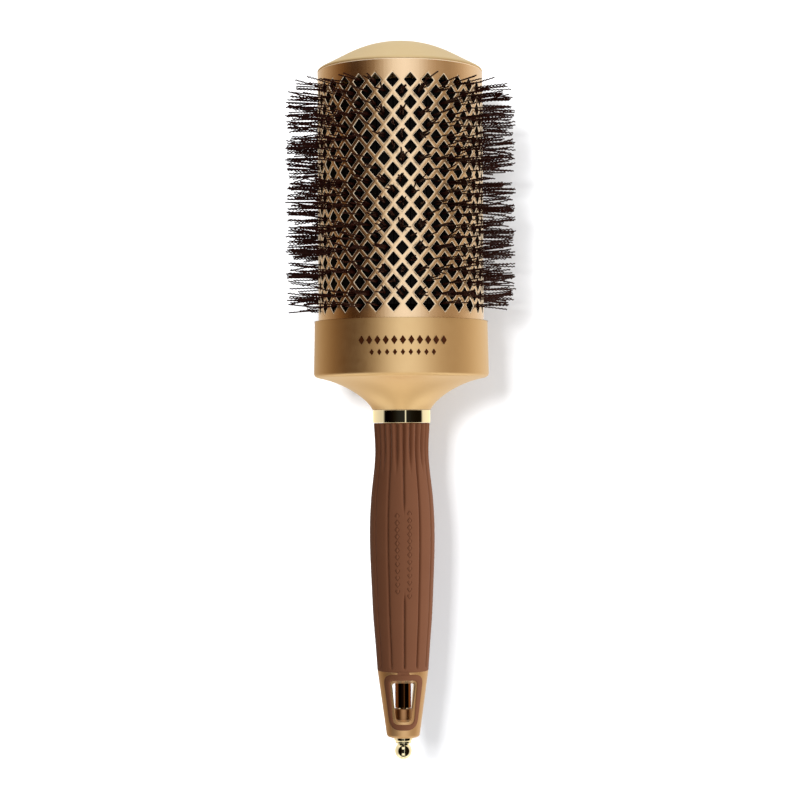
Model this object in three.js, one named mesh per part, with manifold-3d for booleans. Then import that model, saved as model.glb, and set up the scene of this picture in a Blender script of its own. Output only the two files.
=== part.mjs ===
// Round barrel brush: a vented metal barrel with crimped bristle strips, a fluted handle
// and a sectioning pick that slides out of the handle's end.
// Millimetres, +Z along the brush's axis towards the end cap, front towards -Y.
// The origin is the lowest point of the pick's ball, on the axis.
import * as THREE from 'three';
import { mergeVertices } from 'three/addons/utils/BufferGeometryUtils.js';
import Module from 'manifold-3d';

const wasm = await Module();
wasm.setup();

// ---- Driving dimensions ----

const GAP = 0.3; // clearance left between neighbouring pieces
const SHELL_FACETS = 32; // flats round the cap, cup and ring
const HANDLE_FACETS = 24;
const SMALL_FACETS = 16;

// Barrel: a perforated tube
const BARREL_R = 27;
const BARREL_WALL = 1;
const BARREL_BOTTOM = 127.5;
const BARREL_TOP = 224.6;
const COLUMNS = 30; // vents round the barrel in one row
const LONG_ROWS = 11; // rows centred between the strips, the first and last rows among them
const SHORT_ROWS = 10; // rows in line with the strips
const ROW_PITCH = 7.057; // from one row to the next row of its own kind
const TOP_ROW_Z = 217.65;
const VENT_WIDTH = 4.05;
const VENT_HEIGHT = 4.7;

// Bristle strips: a rail on each flat of the core, with one tuft in each vent above it
const CORE_FLAT_R = 20;
const CORE_WALL = 2.5;
const CORE_TOP = 219.3;
const FLOOR_TOP = 130.9;
const RAIL_DEPTH = 2;
const RAIL_END = 3.5; // rail left beyond the first and last tuft
const STRIP_THICKNESS = 1.1;
const TUFT_ROOT_HALF = 1.3;
const BRISTLE_R = 37.5;

// End cap
const CAP_SEAM = BARREL_TOP + GAP;
const CAP_TOP = 234.4;
const CAP_EDGE = 1.8; // the edge is rounded over this width
const CAP_EDGE_HEIGHT = 1.3;
const DOME_R = 22.3;
const DOME_HEIGHT = 6.8;
const CAP_SKIRT_BOTTOM = 220.6;
const CAP_SKIRT_WALL = 1.5;
const CAP_THICKNESS = 2.2;

// Base cup
const CUP_R = 28.6;
const CUP_TOP = 142.8;
const CUP_RIM_EDGE = 0.4;
const CUP_CORNER_Z = 125.9;
const CUP_CORNER_R = 1.5;
const CUP_BOTTOM = 113.95;
const CUP_NECK_R = 9.6;
const FLARE_BEND = [11.5, 117.9, 19, 123]; // radius and height of the flare's two handles
const CUP_FLOOR = BARREL_BOTTOM - GAP;
const CUP_BOSS_TOP = 127.3;
// Inside of the cup from its wall to the boss: [radius, height].
const CUP_INSIDE = [[24.5, CUP_FLOOR], [17, 123.9], [10.6, 119.3], [10, CUP_BOSS_TOP]];

// Neck ring
const RING_R = 9.35;
const RING_BOTTOM = 109.8;
const RING_TOP = 113.6;

// Handle
const SPIGOT_R = 6.1;
const SPIGOT_TOP = 128;
const TIP_BOTTOM = 7.3;
const TIP_BOTTOM_R = 5.3;
const TIP_EDGE_R = 1.2; // round at the bottom edge of the cone
const TIP_TOP = 28.9;
const TIP_TOP_R = 8.3;
const GRIP_BOTTOM = TIP_TOP + GAP;
const GRIP_TOP = 109.45;
// Grip outline, from the bottom up: [height, radius] of each change of the curve.
const GRIP_OUTLINE = [
  [GRIP_BOTTOM, 8.35], [38, 8.95], [46.3, 9.65], [57.6, 10.15], [68.7, 10.6],
  [77.7, 10.6], [86.7, 10.05], [93.7, 9.15], [99.7, 8.66], [GRIP_TOP, 9.2],
];

// Keystone outlines on the handle's end, seen from the front: the window that goes through
// to the back, and the inner and outer edges of the rubber frame round it.
const WINDOW = { bottom: 13.2, top: 25.3, bottomHalf: 2.45, topHalf: 3.6, corner: 0.9 };
const FRAME_INSIDE = { bottom: 12.2, top: 26.4, bottomHalf: 3.2, topHalf: 4.4, corner: 1.5 };
const FRAME_OUTSIDE = { bottom: 10, top: 28.4, bottomHalf: 4.45, topHalf: 6.6, corner: 3.4 };
const FRAME_DEPTH = 1;
const FRAME_PROUD = 0.15;
const TONGUE_WIDTH = 3.6; // joins the frame to the grip
const TONGUE_HEIGHT = 3;

// Pick and what guides it
const PICK_TRAVEL = 45;
const BALL_R = 2.75;
const PICK_NECK_R = 1.95;
const PICK_NECK_TOP = 9;
const SHAFT_R = 1.45;
const SHAFT_END_R = 0.9;
const TUBE_R = 2.6;
const TUBE_BORE_R = 2.15;
const TUBE_TOP = 68;
const BUSH_R = 2.95;
const BUSH_TOP = 16.6;
const BUSH_BOTTOM = 11.7;
const BUSH_BORE_R = SHAFT_R + GAP;
const SEAT_BORE_R = BUSH_R + GAP; // bore in the handle for bush, O-ring and ferrule
const TUBE_BOTTOM = BUSH_TOP + GAP;
const FERRULE_R = 3.0;
const FERRULE_LIP_R = 2.6;
const FERRULE_BOTTOM = 5.35;
const FERRULE_TOP = 9.7;
const FERRULE_LIP_HEIGHT = 0.5;
const FERRULE_BORE_R = PICK_NECK_R + GAP;
const O_RING_Z = 10.7;
const O_RING_MIDDLE_R = 2.35;
const O_RING_SECTION_R = 0.6;
const COLLAR_R = TUBE_BORE_R - GAP;
const COLLAR_HEIGHT = 3;
const COLLAR_BOTTOM = TUBE_BOTTOM + PICK_TRAVEL;
const SHAFT_END = COLLAR_BOTTOM + COLLAR_HEIGHT + 1;

// Screw that holds core and cup on the handle
const SCREW_R = 1.9;
const SCREW_BOTTOM = 115.7;
const SCREW_POINT = 2; // height of the pointed end
const SCREW_HEAD_R = 3.8;
const SCREW_HEAD_TOP_R = 3;
const SCREW_HEAD_HEIGHT = 2.6;
const PILOT_BOTTOM = SCREW_BOTTOM - 1;
const WASHER_R = 5;
const WASHER_HEIGHT = 1;

// ---- Materials ----

const finish = (color, roughness, metalness) =>
  new THREE.MeshStandardMaterial({ color, roughness, metalness });

const satinGold = finish(0xc99b5f, 0.38, 0.85);
const capGold = finish(0xd8bd8a, 0.45, 0.6);
const polishedGold = finish(0xf0d27a, 0.08, 1);
const matteGold = finish(0xc9a268, 0.5, 0.5);
const brownRubber = finish(0x7a5440, 0.85, 0);
const blackPlastic = finish(0x0d0b0a, 0.7, 0);
const darkNylon = finish(0x2a1512, 0.5, 0);
const steel = finish(0x9a9a9c, 0.3, 1);

// ---- Solids: joining and cutting ----

function toSolid(geometry) {
  const bare = geometry.clone();
  bare.deleteAttribute('normal');
  bare.deleteAttribute('uv');
  const merged = mergeVertices(bare, 1e-4);
  return new wasm.Manifold(new wasm.Mesh({
    numProp: 3,
    vertProperties: new Float32Array(merged.attributes.position.array),
    triVerts: new Uint32Array(merged.index.array),
  }));
}

function toGeometry(solid) {
  const mesh = solid.getMesh();
  const geometry = new THREE.BufferGeometry();
  geometry.setAttribute('position', new THREE.BufferAttribute(mesh.vertProperties, 3));
  geometry.setIndex(new THREE.BufferAttribute(mesh.triVerts, 1));
  geometry.computeVertexNormals();
  return geometry;
}

// ---- Shape helpers ----

// Solid of revolution about Z from a closed outline of [radius, height] points that goes
// up the outside and down the inside.
function turned(outline, segments) {
  const points = outline.map(([radius, height]) => new THREE.Vector2(radius, height));
  points.push(points[0].clone());
  return new THREE.LatheGeometry(points, segments).rotateX(Math.PI / 2);
}

function ringOutline(innerR, outerR, bottom, top) {
  return [[innerR, bottom], [outerR, bottom], [outerR, top], [innerR, top]];
}

function pathPoints(path, divisions) {
  return path.getPoints(divisions).map((point) => [point.x, point.y]);
}

// Plate between the planes y = -depth and y = depth whose outline is drawn in X and Z.
function frontToBack(shape, depth) {
  const geometry = new THREE.ExtrudeGeometry(shape, { depth: 2 * depth, bevelEnabled: false });
  return geometry.translate(0, 0, -depth).rotateX(Math.PI / 2);
}

// Keystone outline with rounded corners, grown by `grow` on every side.
function keystone({ bottom, top, bottomHalf, topHalf, corner }, grow = 0) {
  const radius = corner + grow;
  const corners = [
    new THREE.Vector2(-bottomHalf - grow, bottom - grow),
    new THREE.Vector2(bottomHalf + grow, bottom - grow),
    new THREE.Vector2(topHalf + grow, top + grow),
    new THREE.Vector2(-topHalf - grow, top + grow),
  ];
  const points = [];
  corners.forEach((point, i) => {
    const before = corners[(i + 3) % 4].clone().sub(point).setLength(radius).add(point);
    const after = corners[(i + 1) % 4].clone().sub(point).setLength(radius).add(point);
    points.push(...new THREE.QuadraticBezierCurve(before, point, after).getPoints(3));
  });
  return new THREE.Shape(points);
}

// ---- Barrel and its inside ----

// The tube is a perforated sheet rolled up: one column of it is drawn flat, bent round the
// axis and repeated. Neighbouring columns share the vertices along their common edge.
function barrelGeometry() {
  const column = new THREE.ExtrudeGeometry(columnShape(), {
    depth: BARREL_WALL, bevelEnabled: false,
  });
  const flat = column.attributes.position;
  const positions = [];
  for (let i = 0; i < COLUMNS; i += 1) {
    for (let corner = 0; corner < flat.count; corner += 3) {
      if (!isOnColumnEdge(flat, corner)) {
        for (let j = corner; j < corner + 3; j += 1) {
          positions.push(...bend(i + flat.getX(j), flat.getY(j), flat.getZ(j)));
        }
      }
    }
  }
  const barrel = new THREE.BufferGeometry();
  barrel.setAttribute('position', new THREE.Float32BufferAttribute(positions, 3));
  return mergeVertices(barrel, 1e-4);
}

// Flat column of the sheet: X runs from -0.5 to 0.5 column, Y is the height in the brush.
// Vents in line with the strips are holes; the others are half cut from either edge.
function columnShape() {
  const ventHalf = VENT_WIDTH / 2 / (2 * Math.PI * BARREL_R / COLUMNS);
  const ventRise = VENT_HEIGHT / 2;
  const column = new THREE.Shape();
  column.moveTo(-0.5, BARREL_BOTTOM);
  column.lineTo(0.5, BARREL_BOTTOM);
  for (const z of rowHeights(LONG_ROWS, TOP_ROW_Z)) {
    column.lineTo(0.5, z - ventRise);
    column.lineTo(0.5 - ventHalf, z);
    column.lineTo(0.5, z + ventRise);
  }
  column.lineTo(0.5, BARREL_TOP);
  column.lineTo(-0.5, BARREL_TOP);
  for (const z of rowHeights(LONG_ROWS, TOP_ROW_Z).reverse()) {
    column.lineTo(-0.5, z + ventRise);
    column.lineTo(ventHalf - 0.5, z);
    column.lineTo(-0.5, z - ventRise);
  }
  column.closePath();
  for (const z of rowHeights(SHORT_ROWS, TOP_ROW_Z - ROW_PITCH / 2)) {
    column.holes.push(new THREE.Path([
      new THREE.Vector2(-ventHalf, z), new THREE.Vector2(0, z + ventRise),
      new THREE.Vector2(ventHalf, z), new THREE.Vector2(0, z - ventRise),
    ]));
  }
  return column;
}

// Heights of rows one pitch apart, from the bottom row up to the row at `top`.
function rowHeights(count, top) {
  return Array.from({ length: count }, (_, i) => top - (count - 1 - i) * ROW_PITCH);
}

function isOnColumnEdge(flat, corner) {
  const x = flat.getX(corner);
  return Math.abs(x) === 0.5 && flat.getX(corner + 1) === x && flat.getX(corner + 2) === x;
}

function bend(columns, height, depth) {
  const angle = columns * 2 * Math.PI / COLUMNS;
  const radius = BARREL_R - BARREL_WALL + depth;
  return [radius * Math.sin(angle), -radius * Math.cos(angle), height];
}

function innerCoreGeometry() {
  const outerR = CORE_FLAT_R / Math.cos(Math.PI / COLUMNS);
  const bottom = SPIGOT_TOP + GAP;
  const outline = [
    [SCREW_R + GAP, bottom], [outerR, bottom], [outerR, CORE_TOP],
    [outerR - CORE_WALL, CORE_TOP], [outerR - CORE_WALL, FLOOR_TOP], [SCREW_R + GAP, FLOOR_TOP],
  ];
  return turned(outline, COLUMNS).rotateZ(Math.PI / COLUMNS);
}

// Comb outline drawn with X outwards from the axis and Y along it.
function bristleStripGeometry() {
  const railR = CORE_FLAT_R + GAP;
  const rootR = railR + RAIL_DEPTH;
  const tufts = rowHeights(SHORT_ROWS, TOP_ROW_Z - ROW_PITCH / 2);
  const bottom = tufts[0] - RAIL_END;
  const top = tufts[SHORT_ROWS - 1] + RAIL_END;
  const comb = new THREE.Shape();
  comb.moveTo(railR, bottom);
  comb.lineTo(rootR, bottom);
  for (const z of tufts) {
    comb.lineTo(rootR, z - TUFT_ROOT_HALF);
    comb.lineTo(BRISTLE_R, z);
    comb.lineTo(rootR, z + TUFT_ROOT_HALF);
  }
  comb.lineTo(rootR, top);
  comb.lineTo(railR, top);
  comb.closePath();
  const plate = new THREE.ExtrudeGeometry(comb, { depth: STRIP_THICKNESS, bevelEnabled: false });
  return plate.translate(0, 0, -STRIP_THICKNESS / 2).rotateX(Math.PI / 2).rotateZ(-Math.PI / 2);
}

// ---- Cap, cup and ring ----

function endCapGeometry() {
  const dome = new THREE.Path();
  dome.moveTo(BARREL_R, CAP_SEAM);
  dome.quadraticCurveTo(BARREL_R, CAP_SEAM + CAP_EDGE_HEIGHT / 2,
    BARREL_R - CAP_EDGE, CAP_SEAM + CAP_EDGE_HEIGHT);
  dome.lineTo(DOME_R, CAP_TOP - DOME_HEIGHT);
  dome.bezierCurveTo(0.74 * DOME_R, CAP_TOP - DOME_HEIGHT / 2, DOME_R / 2, CAP_TOP, 0, CAP_TOP);
  const outside = pathPoints(dome, 5);
  const skirtR = BARREL_R - BARREL_WALL - GAP;
  const innerR = skirtR - CAP_SKIRT_WALL;
  const inside = [
    [0, CAP_TOP - CAP_THICKNESS], [DOME_R / 2, CAP_TOP - 1.7 * CAP_THICKNESS],
    [innerR, CAP_SEAM], [innerR, CAP_SKIRT_BOTTOM],
    [skirtR, CAP_SKIRT_BOTTOM], [skirtR, CAP_SEAM],
  ];
  return turned([...outside, ...inside], SHELL_FACETS);
}

function baseCupGeometry() {
  const bore = SPIGOT_R + GAP;
  const wallR = BARREL_R + GAP;
  const cornerBottom = CUP_CORNER_Z - CUP_CORNER_R;
  const path = new THREE.Path();
  path.moveTo(bore, CUP_BOTTOM);
  path.lineTo(CUP_NECK_R, CUP_BOTTOM);
  path.bezierCurveTo(...FLARE_BEND, CUP_R - CUP_CORNER_R, cornerBottom);
  path.quadraticCurveTo(CUP_R, cornerBottom + CUP_CORNER_R / 2, CUP_R, CUP_CORNER_Z);
  const rest = [
    [CUP_R, CUP_TOP - CUP_RIM_EDGE], [CUP_R - CUP_RIM_EDGE, CUP_TOP], [wallR, CUP_TOP],
    [wallR, CUP_FLOOR], ...CUP_INSIDE, [bore, CUP_BOSS_TOP],
  ];
  return turned([...pathPoints(path, 5), ...rest], SHELL_FACETS);
}

// ---- Handle ----

function handleCoreGeometry() {
  const tubeSeat = TUBE_R + GAP;
  const pilotR = SCREW_R + GAP;
  const cone = new THREE.Path();
  cone.moveTo(SEAT_BORE_R, TIP_BOTTOM);
  cone.lineTo(TIP_BOTTOM_R - TIP_EDGE_R, TIP_BOTTOM);
  cone.quadraticCurveTo(TIP_BOTTOM_R, TIP_BOTTOM, TIP_BOTTOM_R, TIP_BOTTOM + TIP_EDGE_R);
  cone.lineTo(TIP_TOP_R, TIP_TOP);
  const outline = [
    ...pathPoints(cone, 3),
    [SPIGOT_R, TIP_TOP], [SPIGOT_R, SPIGOT_TOP],
    [pilotR, SPIGOT_TOP], [pilotR, PILOT_BOTTOM], [0, PILOT_BOTTOM],
    [0, TUBE_TOP + GAP], [tubeSeat, TUBE_TOP + GAP],
    [tubeSeat, TUBE_BOTTOM], [SEAT_BORE_R, TUBE_BOTTOM],
  ];
  return toGeometry(toSolid(turned(outline, HANDLE_FACETS))
    .subtract(toSolid(frontToBack(keystone(WINDOW), 2 * TIP_TOP_R)))
    .subtract(frameRing(GAP, FRAME_DEPTH + GAP, 4)));
}

// Keystone ring that follows the cone on both faces, with the tongue that joins it to the
// grip. It is grown sideways by `grow`, and runs from `depth` under the cone's surface to
// `proud` over it.
function frameRing(grow, depth, proud) {
  const outer = frontToBack(keystone(FRAME_OUTSIDE, grow), 2 * TIP_TOP_R);
  const inner = frontToBack(keystone(FRAME_INSIDE, -grow), 3 * TIP_TOP_R);
  const tongue = new THREE.BoxGeometry(TONGUE_WIDTH + 2 * grow, 4 * TIP_TOP_R, TONGUE_HEIGHT)
    .translate(0, 0, GRIP_BOTTOM);
  return toSolid(outer)
    .add(toSolid(tongue))
    .subtract(toSolid(inner))
    .intersect(toSolid(coneAbout(proud)))
    .subtract(toSolid(coneAbout(-depth)));
}

// The tip's cone, offset by `offset` and run on past both ends.
function coneAbout(offset) {
  const lean = (TIP_TOP_R - TIP_BOTTOM_R) / (TIP_TOP - TIP_BOTTOM - TIP_EDGE_R);
  const radiusAt = (z) => TIP_TOP_R + offset + lean * (z - TIP_TOP);
  const low = TIP_BOTTOM - 1;
  const high = TIP_TOP + 2;
  return turned([[0, low], [radiusAt(low), low], [radiusAt(high), high], [0, high]], HANDLE_FACETS);
}

function rubberGripGeometry() {
  const curve = new THREE.SplineCurve(GRIP_OUTLINE.map(([z, r]) => new THREE.Vector2(r, z)));
  const outside = curve.getPoints(10).map((point) => [point.x, point.y]);
  const bore = SPIGOT_R + GAP;
  const sleeve = toSolid(turned([[bore, GRIP_BOTTOM], ...outside, [bore, GRIP_TOP]], HANDLE_FACETS));
  const frame = frameRing(0, FRAME_DEPTH, FRAME_PROUD);
  return toGeometry(sleeve.add(frame));
}

// ---- Pick and what guides it ----

function guideBushGeometry() {
  return turned(ringOutline(BUSH_BORE_R, BUSH_R, BUSH_BOTTOM, BUSH_TOP), SMALL_FACETS);
}

function guideTubeGeometry() {
  return turned(ringOutline(TUBE_BORE_R, TUBE_R, TUBE_BOTTOM, TUBE_TOP), SMALL_FACETS);
}

function ferruleGeometry() {
  const step = FERRULE_BOTTOM + FERRULE_LIP_HEIGHT;
  const seat = TIP_BOTTOM - GAP;
  return turned([
    [FERRULE_BORE_R, FERRULE_BOTTOM], [FERRULE_LIP_R, FERRULE_BOTTOM], [FERRULE_LIP_R, step],
    [FERRULE_R, step], [FERRULE_R, seat], [BUSH_R, seat],
    [BUSH_R, FERRULE_TOP], [FERRULE_BORE_R, FERRULE_TOP],
  ], SMALL_FACETS);
}

function oRingGeometry() {
  const ring = new THREE.TorusGeometry(O_RING_MIDDLE_R, O_RING_SECTION_R, 6, SMALL_FACETS);
  return ring.translate(0, 0, O_RING_Z);
}

function ballTipGeometry() {
  const socketR = SHAFT_R + GAP;
  const neckAngle = Math.asin(PICK_NECK_R / BALL_R);
  const ball = new THREE.Path();
  ball.absarc(0, BALL_R, BALL_R, -Math.PI / 2, Math.PI / 2 - neckAngle, false);
  return turned([
    ...pathPoints(ball, 7),
    [PICK_NECK_R, PICK_NECK_TOP], [socketR, PICK_NECK_TOP],
    [socketR, 2 * BALL_R], [0, 2 * BALL_R],
  ], SMALL_FACETS);
}

function shaftGeometry() {
  const shoulder = COLLAR_BOTTOM - GAP;
  return turned([
    [0, 2 * BALL_R + GAP], [SHAFT_R, 2 * BALL_R + GAP], [SHAFT_R, shoulder],
    [SHAFT_END_R, shoulder], [SHAFT_END_R, SHAFT_END], [0, SHAFT_END],
  ], SMALL_FACETS);
}

function stopCollarGeometry() {
  const top = COLLAR_BOTTOM + COLLAR_HEIGHT;
  return turned(ringOutline(SHAFT_END_R + GAP, COLLAR_R, COLLAR_BOTTOM, top), SMALL_FACETS);
}

// ---- Screw and washer ----

function screwGeometry() {
  const seat = FLOOR_TOP + WASHER_HEIGHT + 2 * GAP;
  const top = seat + SCREW_HEAD_HEIGHT;
  return turned([
    [0, SCREW_BOTTOM], [SCREW_R, SCREW_BOTTOM + SCREW_POINT], [SCREW_R, seat],
    [SCREW_HEAD_R, seat], [SCREW_HEAD_TOP_R, top], [0, top],
  ], SMALL_FACETS);
}

function washerGeometry() {
  const bottom = FLOOR_TOP + GAP;
  return turned(ringOutline(SCREW_R + GAP, WASHER_R, bottom, bottom + WASHER_HEIGHT), SMALL_FACETS);
}

// ---- Assembly ----

function piece(name, geometry, material) {
  const mesh = new THREE.Mesh(geometry, material);
  mesh.name = name;
  return mesh;
}

function headAssembly() {
  const head = new THREE.Group();
  head.add(
    piece('end_cap', endCapGeometry(), capGold),
    piece('barrel', barrelGeometry(), satinGold),
    piece('inner_core', innerCoreGeometry(), blackPlastic),
    piece('base_cup', baseCupGeometry(), satinGold),
    piece('handle_screw', screwGeometry(), steel),
    piece('screw_washer', washerGeometry(), steel),
  );
  const strip = bristleStripGeometry();
  for (let i = 0; i < COLUMNS; i += 1) {
    const mesh = piece(`bristle_strip_${String(i + 1).padStart(2, '0')}`, strip, darkNylon);
    mesh.rotation.z = i * 2 * Math.PI / COLUMNS;
    head.add(mesh);
  }
  return head;
}

function handleAssembly() {
  const handle = new THREE.Group();
  handle.add(
    piece('neck_ring', turned(ringOutline(SPIGOT_R + GAP, RING_R, RING_BOTTOM, RING_TOP), SHELL_FACETS),
      polishedGold),
    piece('handle_core', handleCoreGeometry(), matteGold),
    piece('rubber_grip', rubberGripGeometry(), brownRubber),
    piece('pick_guide_tube', guideTubeGeometry(), polishedGold),
    piece('guide_bush', guideBushGeometry(), matteGold),
    piece('pick_ferrule', ferruleGeometry(), polishedGold),
    piece('friction_o_ring', oRingGeometry(), blackPlastic),
  );
  return handle;
}

function pickAssembly() {
  const pick = new THREE.Group();
  pick.add(
    piece('pick_ball_tip', ballTipGeometry(), polishedGold),
    piece('pick_shaft', shaftGeometry(), polishedGold),
    piece('pick_stop_collar', stopCollarGeometry(), steel),
  );
  return pick;
}

const brush = new THREE.Group();
brush.add(headAssembly(), handleAssembly(), pickAssembly());

export default brush;
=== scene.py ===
import math

import bpy
import numpy as np
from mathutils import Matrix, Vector


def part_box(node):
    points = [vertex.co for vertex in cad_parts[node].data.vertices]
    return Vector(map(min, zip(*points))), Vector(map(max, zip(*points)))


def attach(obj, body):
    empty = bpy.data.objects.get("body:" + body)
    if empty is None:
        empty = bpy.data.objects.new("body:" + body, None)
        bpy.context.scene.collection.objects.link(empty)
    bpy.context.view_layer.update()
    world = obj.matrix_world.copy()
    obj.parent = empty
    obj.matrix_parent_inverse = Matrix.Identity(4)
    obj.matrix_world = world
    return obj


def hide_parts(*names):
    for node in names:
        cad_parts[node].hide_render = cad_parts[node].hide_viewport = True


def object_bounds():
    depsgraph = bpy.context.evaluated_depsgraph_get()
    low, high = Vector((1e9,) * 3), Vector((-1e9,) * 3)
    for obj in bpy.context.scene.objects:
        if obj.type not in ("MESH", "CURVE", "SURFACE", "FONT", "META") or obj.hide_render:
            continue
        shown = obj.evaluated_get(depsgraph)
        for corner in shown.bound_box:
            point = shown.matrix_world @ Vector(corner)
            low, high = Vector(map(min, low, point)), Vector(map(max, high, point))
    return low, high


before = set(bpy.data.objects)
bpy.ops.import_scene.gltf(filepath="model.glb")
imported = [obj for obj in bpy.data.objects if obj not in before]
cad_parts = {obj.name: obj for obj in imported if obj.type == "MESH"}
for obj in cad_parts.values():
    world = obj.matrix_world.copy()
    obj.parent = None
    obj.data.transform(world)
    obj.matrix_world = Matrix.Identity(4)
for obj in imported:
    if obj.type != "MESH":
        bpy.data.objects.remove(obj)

CAD_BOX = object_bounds()
MM = 0.001
BODY = "brush"
PICK = "pick"

# ---- Sizes in millimetres. Places come from the CAD nodes' boxes. ----

GAP = 0.3  # clearance that the CAD model leaves between pieces
SEAM = 0.06  # visible seam between closed pieces
CAP_SEAM = 0.02  # visible seam between the cap and the barrel
HANDLE_BORE = 6.4  # radius of the hole through cup, ring and grip
FINE = 160  # facets round a turned piece
SMALL = 72  # facets round a small turned piece

COLUMNS = 30  # vents round the barrel in one row
LONG_ROWS = 11
SHORT_ROWS = 10
ROW_PITCH = 7.057
TOP_VENT_BELOW_EDGE = 6.95  # from the barrel's upper edge to the first row of vents
VENT_HALF_WIDTH = 2.08
VENT_HALF_HEIGHT = 2.4
VENT_EDGE = 0.16  # width of the rounded edge round each vent, which carries a painted highlight
VENT_DRAFT = 0.3  # the vents widen by this much towards the inside
BARREL_WALL = 1.0

STRAND_THICKNESS = 0.5
STRAND_SIDES = 3
SEED = 54
CRIMP_LENGTH = 1.2
CRIMP_HEIGHT = 0.15
CRIMP_STEP = CRIMP_LENGTH / 4
STRAND_ROOT = 1.6  # hidden length of a strand inside the barrel
ROOT_ACROSS, ROOT_ALONG = 0.5, 0.7  # how far from its vent's middle a strand comes out
CALM_LEAN, WILD_LEAN, MOST_LEAN = 0.06, 0.12, 0.25  # slopes of the strands
WILD_SHARE = 0.25  # share of the strands that lean more
SHORTEST, LONGEST = -0.7, 0.35  # strand ends, from the CAD strip's outer radius
STRAND_BEND = 0.0025  # sideways bend, per square millimetre of length
RAIL_DEPTH = 1.7  # from the barrel's outer face to the strips' rails
RAIL_SHARE = 0.94  # part of its column's width that a rail fills
# Chances of 0 to 6 strands in a vent, in the rows with full tufts and in the rows between.
FULL_TUFTS = (0.04, 0.06, 0.12, 0.22, 0.26, 0.18, 0.12)
THIN_TUFTS = (0.30, 0.28, 0.22, 0.12, 0.06, 0.02, 0.0)

GROOVES = 12
GROOVE_TURN = math.radians(2.5)  # the first groove stands this far round from the front

WINDOW = dict(bottom=13.2, top=25.3, bottom_half=2.45, top_half=3.6, corner=0.9)
FRAME_INSIDE = dict(bottom=12.2, top=26.4, bottom_half=3.2, top_half=4.4, corner=1.5)
FRAME_OUTSIDE = dict(bottom=10, top=28.4, bottom_half=4.45, top_half=6.6, corner=3.4)
TONGUE = dict(bottom=27.4, top=29.3, bottom_half=2.3, top_half=1.8, corner=0.2)


def box_mm(node):
    low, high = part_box(node)
    return np.array(low) / MM, np.array(high) / MM


def linear(red, green, blue):
    """Scene-linear colour from an 8-bit sRGB one."""
    values = [c / 255 for c in (red, green, blue)]
    return [c / 12.92 if c <= 0.04045 else ((c + 0.055) / 1.055) ** 2.4 for c in values] + [1]


# ---- Mesh helpers ----


def make_piece(name, vertices, faces, material, body=BODY, sharp_degrees=35):
    """Mesh object from vertices in millimetres, shaded smooth except at sharp edges."""
    mesh = bpy.data.meshes.new(name)
    mesh.from_pydata(np.asarray(vertices, dtype=float) * MM, [], faces)
    mesh.validate()
    mesh.update()
    mesh.shade_smooth()
    mesh.set_sharp_from_angle(angle=math.radians(sharp_degrees))
    mesh.materials.append(material)
    piece = bpy.data.objects.new(name, mesh)
    bpy.context.scene.collection.objects.link(piece)
    if body:
        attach(piece, body)
    return piece


def rounded(corners, steps=5):
    """Closed outline through (radius, height, cut) corners, each rounded from `cut` before
    it. The first and last corners count as neighbours."""
    points = []
    for i, (radius, height, cut) in enumerate(corners):
        here = np.array([radius, height], dtype=float)
        if cut == 0:
            points.append(here)
            continue
        before = np.array(corners[i - 1][:2]) - here
        after = np.array(corners[(i + 1) % len(corners)][:2]) - here
        start = here + before * cut / np.linalg.norm(before)
        end = here + after * cut / np.linalg.norm(after)
        for t in np.linspace(0, 1, steps + 1):
            points.append((1 - t) ** 2 * start + 2 * t * (1 - t) * here + t ** 2 * end)
    return points


def bezier(start, first, second, end, steps):
    """Points of a cubic curve, without its first point."""
    curve = []
    for t in np.linspace(0, 1, steps + 1)[1:]:
        weights = ((1 - t) ** 3, 3 * t * (1 - t) ** 2, 3 * t ** 2 * (1 - t), t ** 3)
        curve.append(sum(w * np.array(p) for w, p in zip(weights, (start, first, second, end))))
    return curve


def ring_faces(lower, upper):
    """Faces between two rings of vertex numbers, either of which may be one point."""
    count = max(len(lower), len(upper))
    faces = []
    for i in range(count):
        j = (i + 1) % count
        if len(lower) == 1:
            faces.append((lower[0], upper[j], upper[i]))
        elif len(upper) == 1:
            faces.append((lower[i], lower[j], upper[0]))
        else:
            faces.append((lower[i], lower[j], upper[j], upper[i]))
    return faces


def turned(name, outline, material, segments=FINE, body=BODY):
    """Solid of revolution about Z from an outline that goes up outside and down inside."""
    angles = np.arange(segments) * 2 * math.pi / segments
    vertices, rings = [], []
    for radius, height in outline:
        if radius < 1e-6:
            rings.append([len(vertices)])
            vertices.append((0, 0, height))
        else:
            rings.append(list(range(len(vertices), len(vertices) + segments)))
            vertices.extend(zip(radius * np.cos(angles), radius * np.sin(angles),
                                np.full(segments, height)))
    faces = []
    for lower, upper in zip(rings, rings[1:]):
        faces.extend(ring_faces(lower, upper))
    if len(rings[0]) > 1:
        faces.extend(ring_faces(rings[-1], rings[0]))
    return make_piece(name, vertices, faces, material, body)


# ---- Materials ----


def math_node(nodes, links, operation, *values):
    """Math node fed with numbers or linked values."""
    node = nodes.new("ShaderNodeMath")
    node.operation = operation
    for socket, value in zip(node.inputs, values):
        if isinstance(value, (int, float)):
            socket.default_value = value
        else:
            links.new(value, socket)
    return node.outputs[0]


def in_camera_space(nodes, links, direction):
    """Parts of a direction as the camera sees it: right, up and away from the camera."""
    turn = nodes.new("ShaderNodeVectorTransform")
    turn.vector_type = "VECTOR"
    turn.convert_from = "WORLD"
    turn.convert_to = "CAMERA"
    links.new(direction, turn.inputs[0])
    split = nodes.new("ShaderNodeSeparateXYZ")
    links.new(turn.outputs[0], split.inputs[0])
    return split.outputs


def new_material(name):
    material = bpy.data.materials.new(name)
    material.use_nodes = True
    nodes = material.node_tree.nodes
    links = material.node_tree.links
    return material, nodes, links, nodes["Principled BSDF"]


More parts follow.
